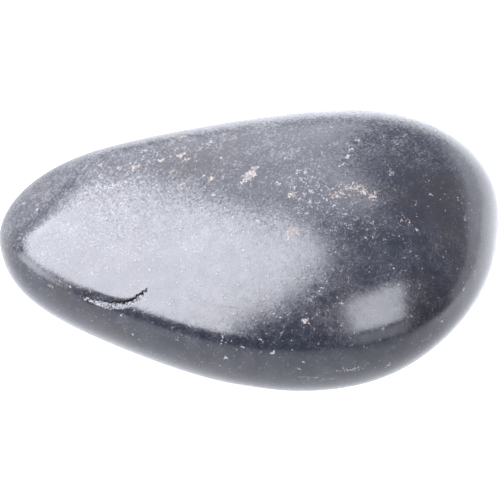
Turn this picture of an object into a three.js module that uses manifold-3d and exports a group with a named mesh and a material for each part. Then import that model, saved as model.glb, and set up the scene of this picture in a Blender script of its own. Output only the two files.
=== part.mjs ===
// River pebble: one water-worn, egg-shaped stone with a blunt end, a narrow end and a short open crack.
// Millimetres. +X points to the blunt end, +Y to the back, +Z up.
// The origin is the middle of the stone's footprint, on the surface that the stone rests on.

import * as THREE from 'three';
import * as BufferGeometryUtils from 'three/addons/utils/BufferGeometryUtils.js';
import Module from 'manifold-3d';

// The stone is measured from its heart, a point inside it, at the widest and thickest cross-section.
const HEART = new THREE.Vector3(2.05, 1.03, 11.6);

// Reach of the unworn egg shape from the heart, along each half axis.
const REACH_BLUNT = 28.7;
const REACH_TIP = 32.7;
const REACH_BACK = 18.0;
const REACH_FRONT = 20.1;
const REACH_UP = 13.3;
const REACH_DOWN = 13.0;

// The egg shape's fullness (2 is an ellipse) and how much wider it is at the blunt end than at the tip.
const FULLNESS = 2.68;
const TAPER = 0.08;

// Faces that the river has worn nearly flat: azimuth and elevation in degrees of the way that each one
// looks, and how far it lies from the heart. Azimuth 0 is the blunt end and 90 is the back.
const WORN_FACES = [
  { name: 'crown', azimuth: 233, elevation: 66, distance: 12.8 },
  { name: 'back slope', azimuth: 105, elevation: 30, distance: 17.7 },
  { name: 'front flank', azimuth: 241, elevation: 13, distance: 19.75 },
  { name: 'tip flank', azimuth: 216, elevation: -20, distance: 28.1 },
  { name: 'blunt front', azimuth: 338, elevation: -25, distance: 25.3 },
  { name: 'belly', azimuth: 350, elevation: -86, distance: 12.4 },
  { name: 'under tip', azimuth: 244, elevation: -40, distance: 16.6 },
  { name: 'under front', azimuth: 276, elevation: -46, distance: 16.6 },
  { name: 'under blunt', azimuth: 316, elevation: -43, distance: 19.3 },
];

// The one younger face, where a flake came off the tip and the edge is still fairly crisp.
const TIP_FACE = { azimuth: 162, elevation: 50, distance: 21.25 };

// How sharply neighbouring faces meet: a low number rounds the edge more.
const WORN_EDGE = 10;
const CRISP_EDGE = 40;

// Shallow dents: where each one lies, seen from the heart, how wide it is in degrees and how deep.
const DENTS = [
  { azimuth: 202, elevation: 38, spread: 14, depth: 0.06 },
  { azimuth: 282, elevation: 65, spread: 16, depth: 0.05 },
  { azimuth: 18, elevation: 42, spread: 10, depth: 0.24 },
  { azimuth: 69, elevation: 1, spread: 14, depth: 0.3 },
  { azimuth: 265, elevation: -25, spread: 11, depth: 0.18 },
  { azimuth: 180, elevation: -36, spread: 12, depth: 0.25 },
];

// The crack runs along the lower front edge of the crown, close to the tip.
// Each point is a direction from the heart: azimuth and elevation in degrees.
const CRACK_ROUTE = [
  [202.7, 7.2],
  [206.1, 8.4],
  [209.4, 9.8],
  [212.4, 11.6],
  [214.4, 13.8],
  [215.5, 16.1],
  [216.2, 19.2],
];
const CRACK_STEPS = 20;
const CRACK_DEPTH = 0.75;
// How far the opening reaches above and below the route, at the surface of the stone.
const CRACK_UPPER_WIDTH = 0.22;
const CRACK_LIP_WIDTH = 0.8;
// What is left of the depth and the widths at the two ends of the crack.
const CRACK_END = 0.1;
// How far the cutting wedge stands out of the stone.
const CRACK_CLEARANCE = 0.5;

// The flat foot that the stone rests on is made by a slab taken off below z = 0.
const SLAB_WIDTH = 80;
const SLAB_DEPTH = 10;

// The sphere that is shaped into the stone has 20 * (SPHERE_DETAIL + 1) ^ 2 triangles.
const SPHERE_DETAIL = 17;

// Angle, in radians, of the small steps that measure which way the surface faces.
const NORMAL_STEP = 0.01;

const wasm = await Module();
wasm.setup();

// A unit vector from azimuth and elevation in degrees.
function direction(azimuth, elevation) {
  const a = THREE.MathUtils.degToRad(azimuth);
  const e = THREE.MathUtils.degToRad(elevation);
  return new THREE.Vector3(Math.cos(e) * Math.cos(a), Math.cos(e) * Math.sin(a), Math.sin(e));
}

// Adds the worn planes to a shape sum. A sum of high powers acts as a soft maximum, so the stone ends
// at whichever comes first, the shape so far or a plane, and the edges between them are rounded.
function wear(shapeSum, unit, faces, edge) {
  let total = shapeSum ** edge;
  for (const face of faces) {
    const facing = unit.dot(direction(face.azimuth, face.elevation));
    total += Math.max(0, facing / face.distance) ** edge;
  }
  return total ** (1 / edge);
}

// Distance from the heart to the stone's surface along a unit vector.
function radius(unit) {
  const swell = 1 + TAPER * unit.x;
  const reachX = unit.x > 0 ? REACH_BLUNT : REACH_TIP;
  const reachY = (unit.y > 0 ? REACH_BACK : REACH_FRONT) * swell;
  const reachZ = (unit.z > 0 ? REACH_UP : REACH_DOWN) * swell;
  const egg = (Math.abs(unit.x / reachX) ** FULLNESS
    + Math.abs(unit.y / reachY) ** FULLNESS
    + Math.abs(unit.z / reachZ) ** FULLNESS) ** (1 / FULLNESS);
  const worn = wear(egg, unit, WORN_FACES, WORN_EDGE);
  const whole = wear(worn, unit, [TIP_FACE], CRISP_EDGE);
  let dented = 0;
  for (const dent of DENTS) {
    const angle = THREE.MathUtils.radToDeg(unit.angleTo(direction(dent.azimuth, dent.elevation)));
    dented += dent.depth * Math.exp(-((angle / dent.spread) ** 2));
  }
  return 1 / whole - dented;
}

// The point of the surface that lies in a direction from the heart.
function surfacePoint(unit) {
  return unit.clone().multiplyScalar(radius(unit)).add(HEART);
}

// The way the surface faces there, from two small steps to either side.
function surfaceNormal(unit) {
  const side = new THREE.Vector3(-unit.y, unit.x, 0).normalize();
  const rise = unit.clone().cross(side);
  const point = surfacePoint(unit);
  const along = surfacePoint(unit.clone().addScaledVector(side, NORMAL_STEP).normalize()).sub(point);
  const up = surfacePoint(unit.clone().addScaledVector(rise, NORMAL_STEP).normalize()).sub(point);
  const normal = along.cross(up).normalize();
  return normal.dot(unit) < 0 ? normal.negate() : normal;
}

// A closed three.js shape becomes a solid that can be cut and joined.
function toSolid(geometry) {
  geometry.deleteAttribute('normal');
  geometry.deleteAttribute('uv');
  const merged = BufferGeometryUtils.mergeVertices(geometry);
  return new wasm.Manifold(new wasm.Mesh({
    numProp: 3,
    vertProperties: new Float32Array(merged.attributes.position.array),
    triVerts: new Uint32Array(merged.index.array),
  }));
}

// The solid comes back as a three.js shape.
function toGeometry(solid) {
  const mesh = solid.getMesh();
  const geometry = new THREE.BufferGeometry();
  geometry.setAttribute('position', new THREE.BufferAttribute(new Float32Array(mesh.vertProperties), 3));
  geometry.setIndex(new THREE.BufferAttribute(new Uint32Array(mesh.triVerts), 1));
  geometry.computeVertexNormals();
  return geometry;
}

// The stone before the crack and the flat foot are taken off: a sphere with its points moved to the
// surface.
function roundStone() {
  const geometry = new THREE.IcosahedronGeometry(1, SPHERE_DETAIL);
  const position = geometry.attributes.position;
  const unit = new THREE.Vector3();
  for (let i = 0; i < position.count; i += 1) {
    unit.fromBufferAttribute(position, i).normalize();
    const point = surfacePoint(unit);
    position.setXYZ(i, point.x, point.y, point.z);
  }
  return toSolid(geometry);
}

// What is missing from the stone at the crack: a wedge along the route, with a steep upper wall and a
// gentle chipped lip below. It is widest and deepest in the middle and runs out at both ends.
function crackWedge() {
  const units = CRACK_ROUTE.map(([azimuth, elevation]) => direction(azimuth, elevation));
  const route = new THREE.CatmullRomCurve3(units.map(surfacePoint));
  const positions = [];
  const index = [];
  for (let i = 0; i <= CRACK_STEPS; i += 1) {
    const t = i / CRACK_STEPS;
    const unit = route.getPointAt(t).sub(HEART).normalize();
    const point = surfacePoint(unit);
    const normal = surfaceNormal(unit);
    const upward = normal.clone().cross(route.getTangentAt(t)).normalize();
    if (upward.z < 0) upward.negate();
    const fullness = CRACK_END + (1 - CRACK_END) * Math.sqrt(Math.sin(Math.PI * t));
    const depth = CRACK_DEPTH * fullness;
    const flare = (depth + CRACK_CLEARANCE) / depth;
    const upper = point.clone().addScaledVector(normal, CRACK_CLEARANCE)
      .addScaledVector(upward, CRACK_UPPER_WIDTH * fullness * flare);
    const lower = point.clone().addScaledVector(normal, CRACK_CLEARANCE)
      .addScaledVector(upward, -CRACK_LIP_WIDTH * fullness * flare);
    const bottom = point.clone().addScaledVector(normal, -depth);
    positions.push(...upper.toArray(), ...lower.toArray(), ...bottom.toArray());
  }
  for (let i = 0; i < CRACK_STEPS; i += 1) {
    for (let corner = 0; corner < 3; corner += 1) {
      const here = 3 * i + corner;
      const next = 3 * i + (corner + 1) % 3;
      index.push(here, next, here + 3);
      index.push(next, next + 3, here + 3);
    }
  }
  const last = 3 * CRACK_STEPS;
  index.push(0, 2, 1);
  index.push(last, last + 1, last + 2);
  const geometry = new THREE.BufferGeometry();
  geometry.setAttribute('position', new THREE.Float32BufferAttribute(positions, 3));
  geometry.setIndex(index);
  return toSolid(geometry);
}

// Everything below the resting surface.
function footSlab() {
  const geometry = new THREE.BoxGeometry(SLAB_WIDTH, SLAB_WIDTH, SLAB_DEPTH);
  geometry.translate(0, 0, -SLAB_DEPTH / 2);
  return toSolid(geometry);
}

const stone = roundStone().subtract(footSlab()).subtract(crackWedge());

const pebble = new THREE.Mesh(
  toGeometry(stone),
  new THREE.MeshStandardMaterial({ color: 0x4b4c54, roughness: 0.35, metalness: 0 }),
);
pebble.name = 'pebble';

const group = new THREE.Group();
group.add(pebble);

export default group;
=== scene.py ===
# %% [markdown]
# # A river pebble
# This lesson dresses one stone: dark grey, egg-shaped, as long as a thumb, and rolled smooth by a river.
# Its measured solid comes from a CAD model and is loaded as a fixed frame. Everything after this cell is
# about what the eye sees on top of those measures: the worn faces, the crack near the tip, the grain of
# the rock, its pale flecks, and the soft light of a photo table.

# %% Load the measured stone
import math

import bmesh
import bpy
import numpy as np
from mathutils import Matrix, Quaternion, Vector, noise
from mathutils.bvhtree import BVHTree


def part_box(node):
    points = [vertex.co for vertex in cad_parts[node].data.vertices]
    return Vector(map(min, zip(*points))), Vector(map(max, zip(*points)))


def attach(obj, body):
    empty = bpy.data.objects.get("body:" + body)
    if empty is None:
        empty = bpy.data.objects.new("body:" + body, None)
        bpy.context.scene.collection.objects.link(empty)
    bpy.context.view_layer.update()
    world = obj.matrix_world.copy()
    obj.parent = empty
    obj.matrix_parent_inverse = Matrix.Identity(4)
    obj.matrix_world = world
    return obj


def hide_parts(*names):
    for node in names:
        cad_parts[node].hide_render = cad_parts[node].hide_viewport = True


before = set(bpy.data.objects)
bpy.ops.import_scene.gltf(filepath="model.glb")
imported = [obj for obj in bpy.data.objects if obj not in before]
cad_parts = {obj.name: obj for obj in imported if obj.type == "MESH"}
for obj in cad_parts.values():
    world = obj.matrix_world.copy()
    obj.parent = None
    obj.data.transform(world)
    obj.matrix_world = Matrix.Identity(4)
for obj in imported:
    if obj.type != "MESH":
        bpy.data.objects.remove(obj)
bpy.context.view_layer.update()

MM = 0.001
low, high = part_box("pebble")
print("solid stone, mm:", [round(side / MM, 1) for side in high - low])

# %% [markdown]
# ## The camera
# The photograph looks down on the long side of the stone, with the narrow end on the left. The picture is
# square, and the stone fills its whole width. A long lens from 1.6 m away keeps the outline true, as a
# product photographer would have it. The camera could be placed by eye, but here it is worked out: the
# stone's corners are laid out along the camera's own three directions, and the lens is chosen so that the
# widest stretch just fills the frame.

# %% Place the camera
CAMERA_ELEVATION = math.radians(50)
CAMERA_DISTANCE = 1.6
SENSOR_WIDTH = 36
PICTURE = 500
AIM_ROUNDS = 4

view_right = Vector((1, 0, 0))
view_back = Vector((0, -math.cos(CAMERA_ELEVATION), math.sin(CAMERA_ELEVATION)))
view_up = view_back.cross(view_right)

corners = [vertex.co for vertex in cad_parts["pebble"].data.vertices]
aim = (low + high) / 2
for _ in range(AIM_ROUNDS):
    eye = aim + view_back * CAMERA_DISTANCE
    sideways = [(corner - eye).dot(view_right) / (eye - corner).dot(view_back) for corner in corners]
    upwards = [(corner - eye).dot(view_up) / (eye - corner).dot(view_back) for corner in corners]
    aim += view_right * (min(sideways) + max(sideways)) / 2 * CAMERA_DISTANCE
    aim += view_up * (min(upwards) + max(upwards)) / 2 * CAMERA_DISTANCE

camera_data = bpy.data.cameras.new("photo camera")
camera_data.sensor_width = SENSOR_WIDTH
camera_data.lens = SENSOR_WIDTH / (max(sideways) - min(sideways))
camera = bpy.data.objects.new("photo camera", camera_data)
camera.location = aim + view_back * CAMERA_DISTANCE
camera.rotation_mode = "QUATERNION"
camera.rotation_quaternion = view_back.to_track_quat("Z", "Y")
bpy.context.scene.collection.objects.link(camera)
bpy.context.scene.camera = camera
print("lens, mm:", round(camera_data.lens))

# %% [markdown]
# ## How a river shapes a stone
# A pebble starts as a broken block. Sliding over gravel wears broad faces on it, and tumbling rounds the
# edges between them. So its shape follows a rule, and the rule can be written down: seen from the heart of
# the stone, the surface lies wherever the first of several shapes ends. One shape is a full egg, and each
# of the others is a flat face. A soft maximum, instead of a hard one, rounds the edges between them.
# Sculpting by hand would also work, but a rule can be measured against the solid and changed by numbers.

# %% The stone's measures
HEART = Vector((2.05, 1.03, 11.6)) * MM

# Reach of the unworn egg from the heart along each half axis, in millimetres.
REACHES = {
    "Reach to blunt end": 28.7,
    "Reach to tip": 32.7,
    "Reach to back": 18.0,
    "Reach to front": 20.1,
    "Reach up": 13.3,
    "Reach down": 13.0,
}
FULLNESS = 2.68
TAPER = 0.08

# Worn faces: the way each one looks, as azimuth and elevation in degrees, and millimetres from the heart.
WORN_FACES = {
    "Crown": (233, 66, 12.8),
    "Back slope": (105, 30, 17.7),
    "Front flank": (241, 13, 19.75),
    "Tip flank": (216, -20, 28.1),
    "Blunt front": (338, -25, 25.3),
    "Belly": (350, -86, 12.4),
    "Under tip": (244, -40, 16.6),
    "Under front": (276, -46, 16.6),
    "Under blunt end": (316, -43, 19.3),
}
TIP_FACE = (162, 50, 21.25)
WORN_EDGE = 10
CRISP_EDGE = 40

# Shallow dents: azimuth and elevation, spread in degrees, depth in millimetres.
DENTS = [
    (202, 38, 14, 0.06),
    (282, 65, 16, 0.05),
    (18, 42, 10, 0.24),
    (69, 1, 14, 0.3),
    (265, -25, 11, 0.18),
    (180, -36, 12, 0.25),
]

# The crack and two finer lines that it would follow if the stone broke, as azimuth and elevation.
CRACK = [(202.7, 7.2), (206.1, 8.4), (209.4, 9.8), (212.4, 11.6), (214.4, 13.8), (215.5, 16.1), (216.2, 19.2)]
HAIRLINES = [
    [(216.2, 19.2), (218.0, 19.7), (222.3, 21.9)],
    [(241.0, 24.8), (249.4, 25.4), (257.9, 26.4)],
]


def direction(azimuth, elevation):
    """A unit vector from two angles in degrees."""
    a, e = math.radians(azimuth), math.radians(elevation)
    return Vector((math.cos(e) * math.cos(a), math.cos(e) * math.sin(a), math.sin(e)))


# %% [markdown]
# ## A round blank
# The rule moves points outwards, so it needs a ball of points to move. A ball of latitude and longitude
# crowds its points at two poles. A cube whose faces are divided into squares and then blown up into a ball
# has them nearly even. Around the crack the squares are divided again, because a crack is narrower than
# one square.

# %% Make the blank
BLANK_CUTS = 107
# Degrees around the crack and the hairlines within which squares are halved, round by round, measured
# from places spread along them, and how many of these places each stretch of a route has.
CRACK_MARGINS, CRACK_PLACES = (5.2, 3.8, 2.8), 6
HAIRLINE_MARGINS, HAIRLINE_PLACES = (1.7, 1.3, 0.9), 12


def between(route, steps):
    """Directions spread evenly between the corners of a route, as an array."""
    points = []
    for start, end in zip(route, route[1:]):
        for step in range(steps):
            mixed = direction(*start).lerp(direction(*end), step / steps)
            points.append(mixed.normalized())
    points.append(direction(*route[-1]))
    return np.array(points)


def near(centres, places, degrees):
    """Which of the centres lie within some degrees of any of the places, seen from the heart."""
    return (centres @ places.T).max(axis=1) > math.cos(math.radians(degrees))


blank = bmesh.new()
bmesh.ops.create_cube(blank, size=2)
bmesh.ops.subdivide_edges(blank, edges=blank.edges[:], cuts=BLANK_CUTS, use_grid_fill=True)
for vertex in blank.verts:
    vertex.co = Vector([math.tan(value * math.pi / 4) for value in vertex.co]).normalized()

crack_places = between(CRACK, CRACK_PLACES)
hairline_places = np.concatenate([between(route, HAIRLINE_PLACES) for route in HAIRLINES])
for crack_margin, hairline_margin in zip(CRACK_MARGINS, HAIRLINE_MARGINS):
    faces = blank.faces[:]
    centres = np.array([face.calc_center_median().normalized() for face in faces])
    chosen = near(centres, crack_places, crack_margin) | near(centres, hairline_places, hairline_margin)
    edges = {edge for face, wanted in zip(faces, chosen) if wanted for edge in face.edges}
    bmesh.ops.subdivide_edges(blank, edges=list(edges), cuts=1, use_grid_fill=True)
    for vertex in blank.verts:
        vertex.co.normalize()

bmesh.ops.triangulate(blank, faces=[face for face in blank.faces if len(face.verts) > 4])
stone_mesh = bpy.data.meshes.new("stone blank")
blank.to_mesh(stone_mesh)
blank.free()
stone = bpy.data.objects.new("river_stone", stone_mesh)
bpy.context.scene.collection.objects.link(stone)
print("blank points:", len(stone_mesh.vertices))

# %% [markdown]
# ## Small helpers for node trees
# Both the shape and the finish of this stone are node trees, and both are built from the same few moves:
# add a node, then give each of its inputs either a number or the output of another node. These helpers
# make one such move each, and set the nodes out in rows so that the tree can be read in the editor.

# %% Node helpers
ROW = 14
NODE_STEP = (190, -260)


def add_node(tree, kind, **settings):
    """A new node, set beside the last one."""
    count = len(tree.nodes)
    node = tree.nodes.new(kind)
    node.location = (NODE_STEP[0] * (count % ROW), NODE_STEP[1] * (count // ROW))
    for name, value in settings.items():
        setattr(node, name, value)
    return node


def plug(tree, socket, value):
    """Gives an input a number, or links it to the output of another node."""
    if isinstance(value, bpy.types.NodeSocket):
        tree.links.new(value, socket)
    else:
        socket.default_value = value


def maths(tree, operation, *values, clamp=False):
    node = add_node(tree, "ShaderNodeMath", operation=operation, use_clamp=clamp)
    for socket, value in zip(node.inputs, values):
        plug(tree, socket, value)
    return node.outputs[0]


def vector_maths(tree, operation, *values):
    node = add_node(tree, "ShaderNodeVectorMath", operation=operation)
    for socket, value in zip(node.inputs, values):
        plug(tree, socket, value)
    return node.outputs["Value" if operation in ("DOT_PRODUCT", "LENGTH", "DISTANCE") else "Vector"]


def scaled(tree, vector, factor):
    node = add_node(tree, "ShaderNodeVectorMath", operation="SCALE")
    plug(tree, node.inputs["Vector"], vector)
    plug(tree, node.inputs["Scale"], factor)
    return node.outputs["Vector"]


def ramp(tree, value, start, end, low=0.0, high=1.0):
    """Goes smoothly from low to high while the value goes from start to end."""
    node = add_node(tree, "ShaderNodeMapRange", interpolation_type="SMOOTHSTEP")
    for socket, given in zip(node.inputs, (value, start, end, low, high)):
        plug(tree, socket, given)
    return node.outputs[0]


def use_group(tree, group, *values):
    node = add_node(tree, "GeometryNodeGroup" if group.bl_idname == "GeometryNodeTree" else "ShaderNodeGroup")
    node.node_tree = group
    for socket, value in zip(node.inputs, values):
        plug(tree, socket, value)
    return node.outputs[0]


def new_group(name, kind, inputs, output):
    """An empty group with named inputs and one output, and its input and output nodes."""
    group = bpy.data.node_groups.new(name, kind)
    for socket_name, socket_type in inputs:
        group.interface.new_socket(socket_name, in_out="INPUT", socket_type=socket_type)
    group.interface.new_socket(output[0], in_out="OUTPUT", socket_type=output[1])
    return group, add_node(group, "NodeGroupInput").outputs, add_node(group, "NodeGroupOutput").inputs


# %% [markdown]
# ## One worn face and one dent
# The rule works with closeness, which is one divided by the distance from the heart. The closeness of a
# flat face in some direction is the cosine of the angle to the way it looks, divided by how far it lies
# from the heart. The larger closeness is the shape that ends first. The soft maximum of two values is the
# larger one, raised a little where they are nearly equal, and that is where the edge becomes round. Each
# face and each dent is the same few nodes, so each becomes a group that is used again and again.

# %% Groups for a worn face and a dent
FLOAT, VECTOR = "NodeSocketFloat", "NodeSocketVector"

worn_face, given, result = new_group(
    "worn face", "GeometryNodeTree",
    [("Shape", FLOAT), ("Outward", VECTOR), ("Looks", VECTOR), ("Distance", FLOAT), ("Edge", FLOAT)],
    ("Shape", FLOAT))
facing = vector_maths(worn_face, "DOT_PRODUCT", given["Outward"], given["Looks"])
closeness = maths(worn_face, "MAXIMUM", maths(worn_face, "DIVIDE", facing, given["Distance"]), 0.0)
larger = maths(worn_face, "MAXIMUM", given["Shape"], closeness)
share = maths(worn_face, "DIVIDE", maths(worn_face, "MINIMUM", given["Shape"], closeness), larger)
raised = maths(worn_face, "ADD", maths(worn_face, "POWER", share, given["Edge"]), 1.0)
rounding = maths(worn_face, "POWER", raised, maths(worn_face, "DIVIDE", 1.0, given["Edge"]))
plug(worn_face, result[0], maths(worn_face, "MULTIPLY", larger, rounding))

dent, given, result = new_group(
    "dent", "GeometryNodeTree",
    [("Outward", VECTOR), ("Looks", VECTOR), ("Spread", FLOAT), ("Depth", FLOAT)],
    ("Depth", FLOAT))
angle = maths(dent, "ARCCOSINE", vector_maths(dent, "DOT_PRODUCT", given["Outward"], given["Looks"]))
fall = maths(dent, "POWER", maths(dent, "DIVIDE", angle, given["Spread"]), 2.0)
fading = maths(dent, "EXPONENT", maths(dent, "MULTIPLY", fall, -1.0))
plug(dent, result[0], maths(dent, "MULTIPLY", given["Depth"], fading))
print("groups:", worn_face.name, "and", dent.name)

# %% [markdown]
# ## The worn stone as a node tree
# The tree takes the blank, works out the egg, wears the faces on it one after another, presses the dents
# in, and moves each point to its place. A little noise, which is the same on each run, makes the faces
# gently uneven, as a stone that was never ground by a machine is. The sizes are inputs with names, so the
# stone can be worn further from the modifier panel. The lowest points are set level with the table,
# because the solid rests on a small flat foot.

# %% Build the tree
RELIEF_HEIGHT, RELIEF_SIZE, RELIEF_SEED = 0.02 * MM, 9.0 * MM, 4.0
# The lowest place for any point along each axis. Only the last one, the table's height, is ever reached.
TABLE_LEVEL = (-1.0, -1.0, 0.0)

wear_tree = bpy.data.node_groups.new("worn stone", "GeometryNodeTree")
wear_tree.is_modifier = True
wear_tree.interface.new_socket("Geometry", in_out="INPUT", socket_type="NodeSocketGeometry")
wear_tree.interface.new_socket("Geometry", in_out="OUTPUT", socket_type="NodeSocketGeometry")
wear_tree.interface.new_socket("Finish", in_out="INPUT", socket_type="NodeSocketMaterial")
sizes = {name: reach * MM for name, reach in REACHES.items()}
sizes.update({name + " distance": face[2] * MM for name, face in WORN_FACES.items()})
sizes.update({"Tip face distance": TIP_FACE[2] * MM, "Fullness": FULLNESS, "Taper": TAPER})
sizes.update({"Worn edge": WORN_EDGE, "Crisp edge": CRISP_EDGE})
sizes.update({"Relief height": RELIEF_HEIGHT, "Relief size": RELIEF_SIZE, "Relief seed": RELIEF_SEED})
for name in sizes:
    wear_tree.interface.new_socket(name, in_out="INPUT", socket_type=FLOAT)

given = add_node(wear_tree, "NodeGroupInput").outputs
outward = vector_maths(wear_tree, "NORMALIZE", add_node(wear_tree, "GeometryNodeInputPosition").outputs[0])
split = add_node(wear_tree, "ShaderNodeSeparateXYZ")
plug(wear_tree, split.inputs[0], outward)
swell = maths(wear_tree, "MULTIPLY_ADD", given["Taper"], split.outputs["X"], 1.0)


def egg_term(part, positive, negative, swollen):
    """One of the three terms of the egg: how far out the point is along an axis, for the reach there."""
    side = maths(wear_tree, "GREATER_THAN", part, 0.0)
    reach = maths(wear_tree, "MULTIPLY_ADD", side, maths(wear_tree, "SUBTRACT", positive, negative), negative)
    if swollen:
        reach = maths(wear_tree, "MULTIPLY", reach, swell)
    share_out = maths(wear_tree, "ABSOLUTE", maths(wear_tree, "DIVIDE", part, reach))
    return maths(wear_tree, "POWER", share_out, given["Fullness"])


along = egg_term(split.outputs["X"], given["Reach to blunt end"], given["Reach to tip"], False)
across = egg_term(split.outputs["Y"], given["Reach to back"], given["Reach to front"], True)
upright = egg_term(split.outputs["Z"], given["Reach up"], given["Reach down"], True)
total = maths(wear_tree, "ADD", maths(wear_tree, "ADD", along, across), upright)
shape = maths(wear_tree, "POWER", total, maths(wear_tree, "DIVIDE", 1.0, given["Fullness"]))

for name, (azimuth, elevation, _) in WORN_FACES.items():
    shape = use_group(wear_tree, worn_face, shape, outward, direction(azimuth, elevation),
                      given[name + " distance"], given["Worn edge"])
shape = use_group(wear_tree, worn_face, shape, outward, direction(*TIP_FACE[:2]),
                  given["Tip face distance"], given["Crisp edge"])

radius = maths(wear_tree, "DIVIDE", 1.0, shape)
for azimuth, elevation, spread, depth in DENTS:
    pressed = use_group(wear_tree, dent, outward, direction(azimuth, elevation),
                        math.radians(spread), depth * MM)
    radius = maths(wear_tree, "SUBTRACT", radius, pressed)

relief = add_node(wear_tree, "ShaderNodeTexNoise", noise_dimensions="4D")
plug(wear_tree, relief.inputs["Vector"], scaled(wear_tree, outward, radius))
plug(wear_tree, relief.inputs["W"], given["Relief seed"])
plug(wear_tree, relief.inputs["Scale"], maths(wear_tree, "DIVIDE", 1.0, given["Relief size"]))
plug(wear_tree, relief.inputs["Detail"], 2.0)
uneven = maths(wear_tree, "MULTIPLY", maths(wear_tree, "SUBTRACT", relief.outputs[0], 0.5), 2.0)
radius = maths(wear_tree, "MULTIPLY_ADD", uneven, given["Relief height"], radius)

place = vector_maths(wear_tree, "ADD", scaled(wear_tree, outward, radius), HEART)
place = vector_maths(wear_tree, "MAXIMUM", place, TABLE_LEVEL)
moved = add_node(wear_tree, "GeometryNodeSetPosition")
plug(wear_tree, moved.inputs["Geometry"], given["Geometry"])
plug(wear_tree, moved.inputs["Position"], place)
real = add_node(wear_tree, "GeometryNodeRealizeInstances")
plug(wear_tree, real.inputs[0], moved.outputs[0])
finished = add_node(wear_tree, "GeometryNodeSetMaterial")
plug(wear_tree, finished.inputs["Geometry"], real.outputs[0])
plug(wear_tree, finished.inputs["Material"], given["Finish"])
plug(wear_tree, add_node(wear_tree, "NodeGroupOutput").inputs[0], finished.outputs[0])
print("nodes in the tree:", len(wear_tree.nodes))

# %% [markdown]
# ## Wear the blank
# The tree becomes a modifier on the blank. Its inputs are set by the identifier of each socket, before
# anything is evaluated. Then the result is kept as a plain mesh and the modifier is taken off, so that the
# crack can be cut into real points.

# %% Run the tree
stone_finish = bpy.data.materials.new("dark river stone")
stone_finish.use_nodes = True

modifier = stone.modifiers.new("worn stone", "NODES")
modifier.node_group = wear_tree
for socket in wear_tree.interface.items_tree:
    if socket.in_out == "INPUT" and socket.name in sizes:
        modifier[socket.identifier] = float(sizes[socket.name])
    elif socket.in_out == "INPUT" and socket.name == "Finish":
        modifier[socket.identifier] = stone_finish

worn = bpy.data.meshes.new_from_object(stone.evaluated_get(bpy.context.evaluated_depsgraph_get()))
worn.name = "worn stone"
stone.modifiers.remove(modifier)
stone.data = worn
bpy.data.meshes.remove(stone_mesh)
surface = BVHTree.FromPolygons([vertex.co for vertex in worn.vertices],
                               [face.vertices for face in worn.polygons])
print("worn stone, mm:", [round(side / MM, 2) for side in stone.dimensions])

# %% [markdown]
# ## The crack
# Near the tip a blow once opened a short crack. Its upper side is a steep little wall, and along its lower
# side the edge has chipped away and left a rough, pale lip. It could be painted as a dark line, but light
# from the side would show that nothing is there. So the points of the mesh are pushed in along a route
# over the surface, deepest at the route and less and less towards both sides, with ragged edges, because
# rock breaks from grain to grain. Above the crack a narrow band has sunk a little and no longer mirrors the
# softbox. Two hairlines are cut in the same way, much finer.
# The deepest part of the slit and, faintly, the hairlines are also coloured almost black in the finish. That
# colour is painted shade.

# %% Cut the crack and the hairlines
CRACK_DEPTH, SLIT_SIDE = 0.75 * MM, 0.13 * MM
LIP_DEPTH, LIP_WIDTH = 0.30 * MM, 0.75 * MM
BEVEL_DEPTH, BEVEL_WIDTH = 0.13 * MM, 1.5 * MM
JAG_SIZE, JAG_REACH, JAG_DEPTH = 0.33 * MM, 0.24 * MM, 0.16 * MM
# The hairlines' depth and half width, and how much of the slit's painted shade they get.
HAIRLINE_DEPTH, HAIRLINE_SIDE, HAIRLINE_PAINTED_SHADE = 0.02 * MM, 0.08 * MM, 0.1
CRACK_END = 0.1
SPAN_STEPS = 8
# How the sunk band fades out, and how fast the lip, its ragged grains and the painted shade in the slit reach
# full strength.
BEVEL_CURVE, BEVEL_FADE, LIP_CURVE = 1.5, 0.5, 0.7
JAG_ONSET, FRESH_ONSET, SLIT_SHADE_ONSET = 5, 6, 1.6

count = len(worn.vertices)
points = np.empty(count * 3)
worn.vertices.foreach_get("co", points)
points = points.reshape(count, 3)
normals = np.empty(count * 3)
worn.vertex_normals.foreach_get("vector", normals)
normals = normals.reshape(count, 3)


def surface_route(route):
    """A smooth line over the stone through the places that lie in the route's directions."""
    corners = [surface.ray_cast(HEART, direction(*angles))[0] for angles in route]
    corners = [2 * corners[0] - corners[1], *corners, 2 * corners[-1] - corners[-2]]
    line = []
    for a, b, c, d in zip(corners, corners[1:], corners[2:], corners[3:]):
        for step in range(SPAN_STEPS):
            t = step / SPAN_STEPS
            line.append(0.5 * (2 * b + (c - a) * t + (2 * a - 5 * b + 4 * c - d) * t ** 2
                               + (3 * b - a - 3 * c + d) * t ** 3))
    return np.array([*line, corners[-2]])


def beside(line, reach):
    """Points near the line: their numbers, how far along it (0 to 1), how far above it, and how far off."""
    lengths = np.concatenate([[0], np.cumsum(np.linalg.norm(np.diff(line, axis=0), axis=1))])
    middle = line.mean(axis=0)
    close = np.nonzero(np.linalg.norm(points - middle, axis=1) < lengths[-1] / 2 + reach * 2)[0]
    best = np.full(len(close), np.inf)
    along = np.zeros(len(close))
    above = np.zeros(len(close))
    for number, (start, end) in enumerate(zip(line, line[1:])):
        run = end - start
        offset = points[close] - start
        share = np.clip(offset @ run / (run @ run), 0, 1)
        gap = offset - share[:, None] * run
        distance = np.linalg.norm(gap, axis=1)
        upward = np.cross(normals[close], run)
        upward *= np.sign(upward[:, 2:])
        upward /= np.linalg.norm(upward, axis=1)[:, None]
        nearer = distance < best
        best[nearer] = distance[nearer]
        along[nearer] = (lengths[number] + share * np.linalg.norm(run))[nearer] / lengths[-1]
        above[nearer] = ((gap * upward).sum(axis=1))[nearer]
    kept = best < reach
    return close[kept], along[kept], above[kept], best[kept]


moves = np.zeros(count)
# The slit and, faintly, the hairlines are marked for painted shade. The finish colours them near black and
# makes them rougher.
crevice_with_painted_shade = np.zeros(count)
fresh = np.zeros(count)

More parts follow.
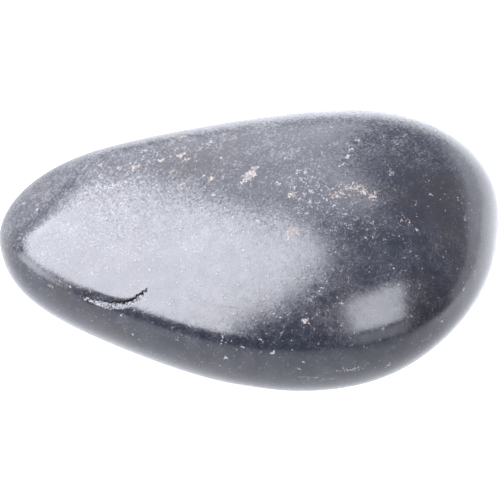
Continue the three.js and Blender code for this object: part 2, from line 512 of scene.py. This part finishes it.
crack_line = surface_route(CRACK)
found, along, above = beside(crack_line, BEVEL_WIDTH)[:3]
openness = CRACK_END + (1 - CRACK_END) * np.sqrt(np.sin(math.pi * along))
inside = (along > 0) & (along < 1)
jag = np.array([noise.noise(Vector(point) / JAG_SIZE) for point in points[found]])
ragged = above + jag * JAG_REACH
slit = np.clip(1 - abs(ragged) / (SLIT_SIDE * openness), 0, 1)
lip = np.clip(1 + ragged / (LIP_WIDTH * openness), 0, 1) * (ragged <= 0)
bevel = np.clip(1 - above / (BEVEL_WIDTH * (1 - along)).clip(1e-6), 0, 1) ** BEVEL_CURVE
bevel = bevel * (above > 0) + (above <= 0)
bevel *= np.clip(1 + above / LIP_WIDTH, 0, 1) * (1 - along) ** BEVEL_FADE
rough_lip = lip ** LIP_CURVE * LIP_DEPTH + jag * JAG_DEPTH * np.clip(lip * JAG_ONSET, 0, 1)
depth = np.maximum(slit * CRACK_DEPTH, np.maximum(rough_lip, 0)) * openness
moves[found] = np.maximum(depth, BEVEL_DEPTH * bevel * openness) * inside
crevice_with_painted_shade[found] = np.clip(slit * SLIT_SHADE_ONSET, 0, 1) * inside
fresh[found] = np.clip(lip * FRESH_ONSET, 0, 1) * (1 - crevice_with_painted_shade[found]) * inside
for route in HAIRLINES:
    found, along, above, gap = beside(surface_route(route), HAIRLINE_SIDE)
    depth = np.clip(1 - gap / HAIRLINE_SIDE, 0, 1) * HAIRLINE_DEPTH
    moves[found] = np.maximum(moves[found], depth)
    crevice_with_painted_shade[found] = np.maximum(crevice_with_painted_shade[found], depth / HAIRLINE_DEPTH * HAIRLINE_PAINTED_SHADE)

points -= normals * moves[:, None]
points[:, 2] = np.maximum(points[:, 2], 0)
worn.vertices.foreach_set("co", points.ravel())
for name, values in (("crevice_with_painted_shade", crevice_with_painted_shade), ("fresh", fresh)):
    layer = worn.attributes.new(name, "FLOAT", "POINT")
    layer.data.foreach_set("value", values)
worn.shade_smooth()
worn.update()
triangles = sum(len(face.vertices) - 2 for face in worn.polygons)
print("points in the crack:", int((moves > 0).sum()), "triangles:", triangles)

# %% [markdown]
# ## Marks that the photograph shows
# Most of the rock is fine grain that any seed can give, but this stone also has marks of its own: tan and
# cream flecks in the upper half, a broad tan patch, a pale vein, and single white specks. Each one is
# placed where the photograph shows it. A ray goes from the camera through a place in the picture to the
# stone, and the mark is laid on the surface there, turned along the picture. A mark is only a soft spot of
# influence: the grain decides which mineral grains inside it turn pale, so no mark has a drawn outline.
# Broad marks are laid on the points of the mesh, and small ones are worked out in the finish, where they
# can be finer than the points. A white mark also lets more pale grains show, and a dark one takes them away.

# %% Find places on the stone
def seen_at(x, y):
    """The point of the stone at a place in the picture, in pixels, and the way the surface faces there."""
    across = ((x + 0.5) / PICTURE - 0.5) * SENSOR_WIDTH / camera_data.lens
    upward = (0.5 - (y + 0.5) / PICTURE) * SENSOR_WIDTH / camera_data.lens
    ray = view_right * across + view_up * upward - view_back
    return surface.ray_cast(camera.location, ray)[:2]


def mark_frame(x, y, length, width, tilt):
    """Centre, turn and half sizes of a mark that lies on the stone and runs at a tilt in the picture."""
    centre, facing = seen_at(x, y)
    picture_way = view_right * math.cos(math.radians(tilt)) + view_up * math.sin(math.radians(tilt))
    run = (picture_way - facing * picture_way.dot(facing)).normalized()
    turn = Matrix((run, facing.cross(run), facing)).transposed().to_euler()
    depth = max(length, width)
    return centre, turn, Vector((length, width, depth)) * MM / 2


# Each mark: place in the picture, length and width in millimetres, tilt in degrees, strength.
TAN_MARKS = [
    (180, 154, 2.2, 1.1, 8, 1.0),
    (186, 159, 1.6, 0.7, 20, 0.6),
    (206, 143, 1.3, 0.5, 15, 0.9),
    (133, 152, 0.8, 0.4, 10, 0.8),
    (143, 151, 1.8, 0.5, 12, 0.8),
    (175, 139, 1.8, 1.6, 0, 0.45),
    (188, 139, 1.0, 0.5, 5, 0.7),
    (148, 194, 0.8, 1.0, 0, 0.8),
    (290, 195, 3.0, 1.6, 10, 0.45),
    (297, 186, 1.4, 1.2, 60, 0.55),
    (243, 181, 1.0, 0.6, 40, 0.8),
    (254, 167, 1.4, 0.9, 40, 0.9),
    (210, 141, 1.5, 0.8, 10, 0.9),
    (210, 178, 1.4, 0.8, 15, 0.85),
    (249, 174, 2.6, 2.0, 35, 1.0),
    (290, 232, 3.0, 1.5, 28, 1.0),
    (159, 159, 1.4, 0.8, 10, 0.7),
    (137, 166, 1.8, 0.9, 12, 0.75),
    (147, 195, 1.2, 0.8, 0, 0.7),
    (100, 165, 1.3, 0.8, 20, 0.6),
    (333, 193, 3.0, 1.8, 15, 0.62),
    (350, 186, 4.4, 2.2, -8, 0.62),
    (350, 189, 9.0, 3.6, -6, 0.50),
    (180, 137, 3.2, 1.4, 10, 0.45),
    (170, 171, 2.0, 0.5, 18, 0.8),
    (371, 197, 3.2, 1.5, -25, 0.6),
    (404, 221, 3.0, 2.4, -20, 0.42),
    (400, 224, 1.2, 0.5, -20, 0.7),
    (417, 230, 1.2, 0.8, 0, 0.7),
    (465, 217, 1.0, 1.6, 0, 0.7),
    (307, 319, 1.6, 1.2, 0, 0.6),
    (386, 365, 2.0, 0.9, 20, 0.7),
    (435, 343, 1.8, 0.6, 40, 0.6),
    (51, 286, 1.6, 1.0, -40, 0.55),
]
WHITE_MARKS = [
    (195, 161, 0.7, 0.5, 20, 1.0),
    (204, 175, 0.9, 0.5, 15, 0.8),
    (224, 133, 0.8, 0.4, 20, 0.8),
    (206, 134, 0.7, 0.4, 20, 0.6),
    (182, 184, 1.0, 0.4, 8, 0.8),
    (297, 172, 1.3, 0.9, 30, 0.6),
    (303, 176, 6.0, 4.0, 60, 0.18),
    (318, 198, 10.0, 7.0, -10, 0.20),
    (352, 224, 10.0, 5.5, -10, 0.17),
    (262, 222, 6.0, 2.4, 10, 0.15),
    (220, 158, 0.6, 0.8, 0, 0.5),
    (248, 153, 0.6, 0.4, 0, 1.0),
    (277, 183, 0.7, 0.5, 30, 0.9),
    (213, 193, 0.9, 0.6, 0, 1.0),
    (306, 172, 0.9, 0.5, 0, 0.9),
    (392, 173, 1.0, 0.9, 40, 1.0),
    (331, 127, 0.9, 0.35, 0, 1.0),
    (431, 195, 0.6, 0.5, 0, 1.0),
    (425, 175, 0.6, 0.4, -20, 0.9),
    (458, 198, 0.5, 0.8, 0, 0.9),
    (393, 269, 0.5, 0.5, 0, 1.0),
    (316, 290, 0.5, 0.5, 0, 1.0),
    (222, 338, 0.5, 1.2, -20, 1.0),
    (243, 347, 0.6, 0.6, 0, 0.9),
    (259, 340, 0.8, 0.4, 10, 0.9),
    (302, 360, 0.8, 0.6, -20, 0.9),
    (226, 358, 1.2, 0.6, 0, 0.8),
    (272, 352, 0.7, 0.5, 0, 0.9),
    (463, 288, 0.5, 1.0, 0, 1.0),
    (474, 272, 0.4, 1.1, -10, 0.9),
    (126, 199, 0.8, 0.5, 0, 0.9),
    (23, 203, 0.8, 0.6, 40, 0.9),
    (37, 209, 0.6, 0.5, 0, 0.9),
    (70, 287, 0.6, 0.5, 0, 0.9),
    (122, 313, 0.7, 0.6, 0, 0.9),
    (132, 334, 1.3, 0.9, -20, 0.8),
    (92, 320, 1.2, 0.9, -20, 0.7),
]
# A vein or a scratch is the same kind of mark, only long and thin.
VEIN_MARKS = [
    (342, 163, 1.5, 0.42, 58, 1.25),
    (347, 156, 1.7, 0.45, 60, 1.35),
    (351, 149, 1.2, 0.42, 58, 1.25),
    (358, 140, 1.4, 0.6, 30, 1.4),
    (112, 185, 4.5, 0.6, 14, 0.7),
    (152, 186, 3.2, 0.5, 5, 0.5),
    (350, 369, 6.0, 1.4, 4, 0.55),
    (312, 377, 5.0, 1.2, -3, 0.5),
]
DARK_MARKS = [
    (282, 199, 2.6, 1.0, -15, 1.0),
    (268, 196, 1.8, 0.8, 0, 0.8),
    (128, 175, 1.6, 0.5, 20, 0.9),
    (180, 175, 4.0, 1.6, 5, 0.8),
    (192, 166, 13.0, 7.0, 6, 0.95),
    (215, 158, 9.0, 4.5, 10, 0.6),
    (232, 196, 9.0, 4.0, -8, 0.6),
    (250, 140, 8.0, 3.6, 8, 0.4),
    (384, 174, 10.0, 9.0, -30, 0.9),
    (425, 195, 14.0, 12.0, -60, 0.75),
    (200, 190, 9.0, 6.0, 6, 0.55),
    (345, 132, 6.0, 3.0, 30, 0.6),
    (60, 210, 7.0, 6.0, 50, 0.3),
    (87, 179, 2.2, 0.8, 10, 0.8),
    (120, 178, 2.6, 0.7, 5, 0.7),
    (262, 208, 1.6, 0.8, 0, 0.6),
]

# Marks at least this broad, in millimetres, are laid on the points of the mesh; smaller ones in the finish.
BROAD = 0.9
# Outlines wander: how large the waves are and how far they reach. Broad marks wander a third as far.
WANDER_SIZE, WANDER_REACH, BROAD_CALM = 0.9 * MM, 1.3 * MM, 3
# How far around a mark its points are looked for, and the part of its radius over which it fades.
MARK_SEARCH, MARK_FADE = 1.5, 0.7
# Blender's vector noise starts from the clock unless it is given a seed.
MARK_SEED = 1
noise.seed_set(MARK_SEED)


def is_broad(mark):
    return min(mark[2], mark[3]) >= BROAD


def broad_marks(marks):
    """How much of the broad marks lies at each point of the mesh: 0 outside, up to their strength."""
    field = np.zeros(count)
    for *shape_words, strength in filter(is_broad, marks):
        centre, turn, half_size = mark_frame(*shape_words)
        close = np.nonzero(np.linalg.norm(points - centre, axis=1) < max(half_size) * MARK_SEARCH)[0]
        stray = [noise.noise_vector(Vector(point) / WANDER_SIZE) for point in points[close]]
        moved_on = points[close] + np.array(stray).reshape(-1, 3) * WANDER_REACH / BROAD_CALM
        local = (moved_on - centre) @ np.array(turn.to_matrix()) / half_size
        nearness = np.clip((1 - np.linalg.norm(local, axis=1)) / MARK_FADE, 0, 1)
        field[close] = np.maximum(field[close], nearness ** 2 * (3 - 2 * nearness) * strength)
    return field


for name, marks in (("tan", TAN_MARKS), ("white", WHITE_MARKS + VEIN_MARKS), ("dark", DARK_MARKS)):
    layer = worn.attributes.new(name, "FLOAT", "POINT")
    layer.data.foreach_set("value", broad_marks(marks))
print("marks placed:", sum(map(len, (TAN_MARKS, WHITE_MARKS, VEIN_MARKS, DARK_MARKS))))

# %% [markdown]
# ## Patterns for the rock
# Rock looks real when several small patterns lie over each other, each at its true size. Clouds, a few
# millimetres wide, change the tone. Grain, a quarter of a millimetre wide, is what makes the surface
# sparkle and look dusty. Specks are single pale crystals, and cells with a random colour decide which of
# them show. All patterns read the object's own coordinates, in metres, so they stay on the stone from
# whatever side it is seen.

# %% Pattern helpers
def cloud(tree, place, size, detail=2.0, roughness=0.5, shift=0.0):
    """Soft random patches of about that size, from 0 to 1."""
    node = add_node(tree, "ShaderNodeTexNoise", noise_dimensions="4D")
    for name, value in (("Vector", place), ("W", shift), ("Scale", 1 / size), ("Detail", detail),
                        ("Roughness", roughness)):
        plug(tree, node.inputs[name], value)
    return node.outputs[0]


def specks(tree, place, spacing, smallest, largest, share, shift=0.0):
    """Round crystals, one at most in each cell: 1 inside a crystal and 0 outside it."""
    node = add_node(tree, "ShaderNodeTexVoronoi", voronoi_dimensions="4D")
    for name, value in (("Vector", place), ("W", shift), ("Scale", 1 / spacing)):
        plug(tree, node.inputs[name], value)
    chance = add_node(tree, "ShaderNodeSeparateColor")
    plug(tree, chance.inputs[0], node.outputs["Color"])
    shown = maths(tree, "LESS_THAN", chance.outputs[0], share)
    edge = ramp(tree, chance.outputs[1], 0.0, 1.0, smallest / spacing, largest / spacing)
    inside = ramp(tree, maths(tree, "DIVIDE", node.outputs["Distance"], edge), 0.5, 1.0, 1.0, 0.0)
    return maths(tree, "MULTIPLY", inside, shown)


def blend(tree, amount, under, over):
    """Lays one colour over another."""
    node = add_node(tree, "ShaderNodeMix", data_type="RGBA", clamp_factor=True)
    for number, value in ((0, amount), (6, under), (7, over)):
        plug(tree, node.inputs[number], value)
    return node.outputs[2]


mark_spot, given, result = new_group(
    "mark spot", "ShaderNodeTree",
    [("Place", VECTOR), ("Centre", VECTOR), ("Turn", VECTOR), ("Half size", VECTOR), ("Strength", FLOAT),
     ("So far", FLOAT)], ("Spot", FLOAT))
laid = add_node(mark_spot, "ShaderNodeMapping", vector_type="TEXTURE")
for socket, name in zip(laid.inputs, ("Place", "Centre", "Turn", "Half size")):
    plug(mark_spot, socket, given[name])
nearness = maths(mark_spot, "SUBTRACT", 1.0, vector_maths(mark_spot, "LENGTH", laid.outputs[0]), clamp=True)
spot = maths(mark_spot, "MULTIPLY", ramp(mark_spot, nearness, 0.0, MARK_FADE), given["Strength"])
plug(mark_spot, result[0], maths(mark_spot, "MAXIMUM", spot, given["So far"]))


def all_marks(tree, place, marks, layer_name):
    """Where any of the marks is: 0 outside, up to its strength in the middle."""
    field = add_node(tree, "ShaderNodeAttribute", attribute_name=layer_name).outputs["Fac"]
    for *shape_words, strength in (mark for mark in marks if not is_broad(mark)):
        field = use_group(tree, mark_spot, place, *mark_frame(*shape_words), strength, field)
    return field


# %% [markdown]
# ## The finish of the rock
# Wet-looking dark rock is hard to match with colour alone, because most of what the eye sees on it is
# reflection. So the base colour stays very dark and slightly blue, and the finish is mostly in the grain:
# each small grain tilts the surface a few degrees and is a little rougher or smoother than the next. Where
# the softbox is mirrored the grain is almost lost, and at the rim of that highlight it breaks into salt
# and pepper, as on the real stone. The upper side is dusty and duller, and the flanks are more polished.

# %% The dark polished rock
ROCK_DARK = (0.0056, 0.0066, 0.0122, 1)
ROCK_WARM = (0.0115, 0.0095, 0.0115, 1)
GRAIN_PALE = (0.112, 0.114, 0.124, 1)
DUST = (0.155, 0.15, 0.15, 1)
TAN = (0.135, 0.105, 0.088, 1)
CREAM = (0.215, 0.185, 0.165, 1)
WHITE = (0.21, 0.21, 0.22, 1)
CREVICE_PAINTED_SHADE = (0.004, 0.004, 0.005, 1)
FRESH_ROCK = (0.135, 0.133, 0.14, 1)

# Dust lies where the stone is far out this way, from the first distance to the second.
DUST_WAY = Vector((-0.22, 0.5, 0.84))
DUST_START, DUST_END = 12 * MM, 25 * MM

# Clouds of four sizes, each with its own seed.
BROAD_CLOUD, FINE_CLOUD, MIDDLING_CLOUD, PATCH_CLOUD = 9 * MM, 0.24 * MM, 0.7 * MM, 2.2 * MM
BROAD_SEED, FINE_SEED, MIDDLING_SEED, PATCH_SEED = 1.0, 2.0, 3.0, 4.0

# How strongly the fine and the middling grain break up a mark, and how strongly a mark shows.
FINE_BREAK, MIDDLING_BREAK = 2.6, 1.4
MARK_GAIN, WHITE_SHARE = 1.15, 0.85

# Pale grains: how many in the dust and without it, and how marks change that. The film is the faintest.
SALT_IN_DUST, SALT_BARE = 0.80, 0.09
SALT_IN_DARK, SALT_IN_PALE = -1.1, 7.0
FILM_SHARE = 0.14

# Dust strokes: their tilt in the picture, their size along, across and into the stone, and their strength.
STROKE_TILT, STROKE_SIZES = math.radians(50), (1.3 * MM, 0.22 * MM, 0.5 * MM)
STROKE_SEED, STROKE_SHARE = 7.0, 0.55

# Crystals: spacing, smallest and largest radius, the share of the cells that has one, and the seed.
SMALL_SPECKS = (0.75 * MM, 0.05 * MM, 0.12 * MM, 0.33, 5.0)
LARGE_SPECKS = (2.1 * MM, 0.12 * MM, 0.24 * MM, 0.3, 6.0)
SMALL_SPECK_SHARE, SPECK_SHARE = 0.3, 0.42
# The same way out as the dust, between these distances, the crystals fade to this share.
CROWN_START, CROWN_END, CROWN_SPECKS = 9 * MM, 17 * MM, 0.25

# Roughness of the bare flanks and of the dust, and what grain, marks and the crack add to it.
POLISHED, DUSTY = 0.205, 0.32
MIDDLING_MATT, FINE_MATT, MARK_MATT, CREVICE_MATT = 0.25, 0.22, 0.3, 0.5
REFRACTION = 1.6

GRAIN_HEIGHT, RIPPLE_HEIGHT = 0.010 * MM, 0.006 * MM
# The share of the grain's height that shows without dust, and what full dust adds to it.
BARE_RISE, DUST_RISE = 0.4, 0.6
# How far the grains tilt where the rock is polished, where it is dusty, and what a chipped place adds.
GRAIN_SIZE = 0.30 * MM
GRAIN_TILT_POLISHED, GRAIN_TILT_DUSTY, CHIPPED_TILT = 0.06, 0.58, 0.08
# The middle of the random colours that push places and directions about.
NOISE_MIDDLE = (0.5, 0.5, 0.5)

nodes = stone_finish.node_tree
nodes.nodes.clear()
here = add_node(nodes, "ShaderNodeTexCoord").outputs["Object"]

# How dusty the place is: most on the upper back side, least on the front flank.
upward = vector_maths(nodes, "DOT_PRODUCT", here, DUST_WAY)
broad = cloud(nodes, here, BROAD_CLOUD, 3.0, 0.6, BROAD_SEED)
height_dust = ramp(nodes, upward, DUST_START, DUST_END)
dust = maths(nodes, "MULTIPLY", height_dust, ramp(nodes, broad, 0.3, 0.65, 0.45, 1.0))

# Three sizes of grain.
fine = cloud(nodes, here, FINE_CLOUD, 2.0, 0.7, FINE_SEED)
middling = cloud(nodes, here, MIDDLING_CLOUD, 2.0, 0.5, MIDDLING_SEED)
patches = cloud(nodes, here, PATCH_CLOUD, 3.0, 0.6, PATCH_SEED)

# The stone's own marks, with wandering outlines, broken up by the grain.
wander = add_node(nodes, "ShaderNodeTexNoise")
for name, value in (("Vector", here), ("Scale", 1 / WANDER_SIZE), ("Detail", 2.0)):
    plug(nodes, wander.inputs[name], value)
strayed = vector_maths(nodes, "SUBTRACT", wander.outputs["Color"], NOISE_MIDDLE)
strayed = scaled(nodes, strayed, WANDER_REACH)
marked = vector_maths(nodes, "ADD", here, strayed)
breaking = maths(nodes, "MULTIPLY_ADD", maths(nodes, "SUBTRACT", fine, 0.5), FINE_BREAK,
                 maths(nodes, "MULTIPLY", maths(nodes, "SUBTRACT", middling, 0.5), MIDDLING_BREAK))


def grains_in(field):
    """The grains that show a mark: most in the middle of it, few at its edge."""
    return ramp(nodes, maths(nodes, "MULTIPLY_ADD", field, MARK_GAIN, breaking), 0.42, 0.95)


pale_field = all_marks(nodes, marked, WHITE_MARKS + VEIN_MARKS, "white")
dark_field = all_marks(nodes, marked, DARK_MARKS, "dark")

# The ground colour, with pale grains in it: many where the dust lies, fewer in a dark patch.
colour = blend(nodes, ramp(nodes, broad, 0.42, 0.7), ROCK_DARK, ROCK_WARM)
salt = maths(nodes, "MULTIPLY", ramp(nodes, fine, 0.48, 0.62), ramp(nodes, middling, 0.34, 0.60, 0.2, 1.0))
salt = maths(nodes, "MULTIPLY", salt, maths(nodes, "MULTIPLY_ADD", dust, SALT_IN_DUST, SALT_BARE))
not_dark = maths(nodes, "MULTIPLY_ADD", dark_field, SALT_IN_DARK, 1.0, clamp=True)
salt = maths(nodes, "MULTIPLY", salt, not_dark)
salt = maths(nodes, "MULTIPLY", salt, maths(nodes, "MULTIPLY_ADD", pale_field, SALT_IN_PALE, 1.0))
colour = blend(nodes, salt, colour, GRAIN_PALE)
film = maths(nodes, "MULTIPLY", ramp(nodes, patches, 0.38, 0.66), ramp(nodes, fine, 0.35, 0.6, 0.3, 1.0))
film = maths(nodes, "MULTIPLY", film, not_dark)
colour = blend(nodes, maths(nodes, "MULTIPLY", film, FILM_SHARE), colour, GRAIN_PALE)

# Fine strokes where the dust lies thick, rubbed on in one direction.
stroke_way = (view_right * math.cos(STROKE_TILT) + view_up * math.sin(STROKE_TILT)).normalized()
stretched = add_node(nodes, "ShaderNodeCombineXYZ")
stroke_ways = (stroke_way, view_back.cross(stroke_way), view_back)
for socket, way, size in zip(stretched.inputs, stroke_ways, STROKE_SIZES):
    plug(nodes, socket, vector_maths(nodes, "DOT_PRODUCT", here, way / size))
strokes = ramp(nodes, cloud(nodes, stretched.outputs[0], 1.0, 2.0, 0.6, STROKE_SEED), 0.52, 0.70)
strokes = maths(nodes, "MULTIPLY", strokes, maths(nodes, "MULTIPLY", dust, ramp(nodes, patches, 0.42, 0.6)))
colour = blend(nodes, maths(nodes, "MULTIPLY", strokes, STROKE_SHARE), colour, DUST)

# Single crystals: fine ones everywhere and larger ones here and there.
small_specks = specks(nodes, here, *SMALL_SPECKS)
large_specks = specks(nodes, here, *LARGE_SPECKS)
crystals = maths(nodes, "MAXIMUM", maths(nodes, "MULTIPLY", small_specks, SMALL_SPECK_SHARE), large_specks)
crystals = maths(nodes, "MULTIPLY", crystals, ramp(nodes, patches, 0.35, 0.6, 0.35, 1.0))
crown_share = ramp(nodes, upward, CROWN_START, CROWN_END, 1.0, CROWN_SPECKS)
crystals = maths(nodes, "MULTIPLY", crystals, crown_share)
colour = blend(nodes, maths(nodes, "MULTIPLY", crystals, SPECK_SHARE), colour, WHITE)

# The marks themselves: tan to cream, and white, with dark gaps between the grains.
tan = grains_in(all_marks(nodes, marked, TAN_MARKS, "tan"))
white = grains_in(pale_field)
gaps = ramp(nodes, fine, 0.36, 0.60, 0.25, 1.0)
tan_or_cream = blend(nodes, ramp(nodes, middling, 0.4, 0.6), TAN, CREAM)
colour = blend(nodes, maths(nodes, "MULTIPLY", tan, gaps), colour, tan_or_cream)
paler = maths(nodes, "MULTIPLY", white, gaps)
colour = blend(nodes, maths(nodes, "MULTIPLY", paler, WHITE_SHARE), colour, WHITE)

# The crack: painted shade, almost black, in the slit and faintly in the hairlines, and pale broken rock on
# its lip.
crevice_and_painted_shade_here = add_node(nodes, "ShaderNodeAttribute", attribute_name="crevice_with_painted_shade").outputs["Fac"]
fresh_here = add_node(nodes, "ShaderNodeAttribute", attribute_name="fresh").outputs["Fac"]
lip_grains = maths(nodes, "MULTIPLY", fresh_here, ramp(nodes, breaking, -0.2, 0.3, 0.25, 1.0))
colour = blend(nodes, lip_grains, colour, FRESH_ROCK)
colour = blend(nodes, crevice_and_painted_shade_here, colour, CREVICE_PAINTED_SHADE)

# Roughness: polished flanks, dusty top, matt marks and a raw crack.
matt = maths(nodes, "MAXIMUM", maths(nodes, "MAXIMUM", tan, white), lip_grains)
shine = maths(nodes, "MULTIPLY_ADD", dust, DUSTY - POLISHED, POLISHED)
shine = maths(nodes, "MULTIPLY_ADD", maths(nodes, "SUBTRACT", middling, 0.5), MIDDLING_MATT, shine)
shine = maths(nodes, "MULTIPLY_ADD", maths(nodes, "SUBTRACT", fine, 0.5), FINE_MATT, shine)
shine = maths(nodes, "MULTIPLY_ADD", matt, MARK_MATT, shine)
shine = maths(nodes, "MULTIPLY_ADD", crevice_and_painted_shade_here, CREVICE_MATT, shine, clamp=True)

# The heights of the grain and of the faint ripples under it, in metres.
grain_rise = maths(nodes, "MULTIPLY", fine, maths(nodes, "MULTIPLY_ADD", dust, DUST_RISE, BARE_RISE))
rise = maths(nodes, "MULTIPLY", grain_rise, GRAIN_HEIGHT)
rise = maths(nodes, "MULTIPLY_ADD", middling, RIPPLE_HEIGHT, rise)

# Each grain is cut a little differently, so each one tilts its own way, and more where grains are chipped.
facets = add_node(nodes, "ShaderNodeTexNoise")
for name, value in (("Vector", here), ("Scale", 1 / GRAIN_SIZE), ("Detail", 2.0), ("Roughness", 0.7)):
    plug(nodes, facets.inputs[name], value)
lean = vector_maths(nodes, "SUBTRACT", facets.outputs["Color"], NOISE_MIDDLE)
tilt = maths(nodes, "MULTIPLY_ADD", dust, GRAIN_TILT_DUSTY - GRAIN_TILT_POLISHED, GRAIN_TILT_POLISHED)
tilt = maths(nodes, "ADD", tilt, ramp(nodes, middling, 0.50, 0.72, 0.0, CHIPPED_TILT))
outward_here = add_node(nodes, "ShaderNodeNewGeometry").outputs["Normal"]
leaning = vector_maths(nodes, "ADD", outward_here, scaled(nodes, lean, tilt))
leaning = vector_maths(nodes, "NORMALIZE", leaning)
grain = add_node(nodes, "ShaderNodeBump")
plug(nodes, grain.inputs["Normal"], leaning)
grain.inputs["Strength"].default_value = 1.0
grain.inputs["Distance"].default_value = 1.0
plug(nodes, grain.inputs["Height"], rise)

rock = add_node(nodes, "ShaderNodeBsdfPrincipled")
rock.inputs["IOR"].default_value = REFRACTION
plug(nodes, rock.inputs["Base Color"], colour)
plug(nodes, rock.inputs["Roughness"], shine)
plug(nodes, rock.inputs["Normal"], grain.outputs[0])
plug(nodes, add_node(nodes, "ShaderNodeOutputMaterial").inputs["Surface"], rock.outputs[0])
print("nodes in the finish:", len(nodes.nodes))

# %% [markdown]
# ## Hand the stone over to the frame
# The dressed stone takes the place of the plain CAD solid and moves with the same body.

# %% Name what the stone stands for
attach(stone, "root")
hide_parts("pebble")

# %% [markdown]
# ## The photo table
# The stone lies on plain white, lit by one large softbox from the upper left, a dim panel behind, and a
# window-like panel at the front, which shows as a small soft highlight on the blunt end. Three small cards
# close to the table put a little light into the flanks and the rims: one in front, one at the left and one
# at the right. The table is lit from below, most at the back right, and the room is darker in front.

# %% Floor and lights
FLOOR_HALF = 3.0
TABLE_GREY, TABLE_ROUGHNESS = 0.2, 0.9
TABLE_GLOW = (0.93, 0.95, 1.02, 1)
# The table glows more towards the back right corner, and least at the front left.
GLOW_AXIS = Vector((0.78, 0.63, 0))
GLOW_START, GLOW_END = -10 * MM, 70 * MM
GLOW_LOW, GLOW_HIGH = 1.02, 2.75
# In front it fades beyond the picture, so that no hard line is mirrored low on the flank.
FADE_START, FADE_END, FADED = 46 * MM, 130 * MM, 0.45

floor_mesh = bpy.data.meshes.new("photo table")
floor_mesh.from_pydata(
    [(-FLOOR_HALF, -FLOOR_HALF, 0), (FLOOR_HALF, -FLOOR_HALF, 0), (FLOOR_HALF, FLOOR_HALF, 0),
     (-FLOOR_HALF, FLOOR_HALF, 0)], [], [(0, 1, 2, 3)])
floor = bpy.data.objects.new("photo_table", floor_mesh)
bpy.context.scene.collection.objects.link(floor)

table_finish = bpy.data.materials.new("lit white table")
table_finish.use_nodes = True
tree = table_finish.node_tree
table = tree.nodes["Principled BSDF"]
table.inputs["Base Color"].default_value = (TABLE_GREY, TABLE_GREY, TABLE_GREY, 1)
table.inputs["Roughness"].default_value = TABLE_ROUGHNESS
table.inputs["Emission Color"].default_value = TABLE_GLOW
on_table = add_node(tree, "ShaderNodeTexCoord").outputs["Object"]
outwards = vector_maths(tree, "DOT_PRODUCT", on_table, GLOW_AXIS)
glow = ramp(tree, outwards, GLOW_START, GLOW_END, GLOW_LOW, GLOW_HIGH)
forwards = vector_maths(tree, "DOT_PRODUCT", on_table, Vector((0, -1, 0)))
glow = maths(tree, "MULTIPLY", glow, ramp(tree, forwards, FADE_START, FADE_END, 1.0, FADED))
plug(tree, table.inputs["Emission Strength"], glow)
floor_mesh.materials.append(table_finish)

LIT_POINT = Vector((0, 0, 13 * MM))
DAYLIGHT = (0.97, 0.985, 1.07)
SHADE = (0.90, 0.95, 1.13, 1)
# The softbox hangs level: its place from the lit point, its turn, its size in metres, its brightness.
SOFTBOX_PLACE = Vector((-0.849, -0.127, 0.5))
SOFTBOX_TURN, SOFTBOX_SIZE, SOFTBOX_BRIGHTNESS = math.radians(60), (1.10, 1.07), 11.2
PANEL_DISTANCE = 0.6


def panel(name, place, turn, size, brightness):
    """A flat rectangular light. Its power follows from how bright its face should look."""
    data = bpy.data.lights.new(name, "AREA")
    data.shape = "RECTANGLE"
    data.size, data.size_y = size
    data.energy = brightness * size[0] * size[1] * math.pi
    data.color = DAYLIGHT
    light = bpy.data.objects.new(name, data)
    light.location = place
    light.rotation_mode = "QUATERNION"
    light.rotation_quaternion = turn
    bpy.context.scene.collection.objects.link(light)


def panel_at(name, azimuth, elevation, size, brightness, lift=0):
    """A panel that faces the stone from one side, and may be raised in its own plane."""
    turn = direction(azimuth, elevation).to_track_quat("Z", "Y")
    panel(name, LIT_POINT + turn @ Vector((0, lift, PANEL_DISTANCE)), turn, size, brightness)


panel("big softbox", LIT_POINT + SOFTBOX_PLACE, Quaternion((0, 0, 1), SOFTBOX_TURN),
      SOFTBOX_SIZE, SOFTBOX_BRIGHTNESS)
# The other panels: azimuth and elevation in degrees, width and height in metres, brightness.
panel_at("back panel", 120, 10, (0.86, 0.94), 3.3, lift=0.51)
panel_at("window panel", -72, 52, (0.32, 0.50), 7.2)
panel_at("low card", -70, 14, (0.34, 0.20), 1.9)
panel_at("left card", 196, 7, (0.30, 0.16), 7.0)
panel_at("right card", 24, 10, (0.95, 0.18), 1.5)

# The room's brightness in front of the stone and behind it, and where it changes from front to back.
ROOM_FRONT, ROOM_BACK = 0.28, 0.82
ROOM_START, ROOM_END = -0.8, 0.7
world = bpy.data.worlds.new("studio room")
bpy.context.scene.world = world
world.use_nodes = True
tree = world.node_tree
background = tree.nodes["Background"]
background.inputs["Color"].default_value = SHADE
facing = add_node(tree, "ShaderNodeSeparateXYZ")
plug(tree, facing.inputs[0], add_node(tree, "ShaderNodeTexCoord").outputs["Generated"])
room_light = ramp(tree, facing.outputs["Y"], ROOM_START, ROOM_END, ROOM_FRONT, ROOM_BACK)
plug(tree, background.inputs["Strength"], room_light)
bpy.context.scene.view_settings.view_transform = "Standard"
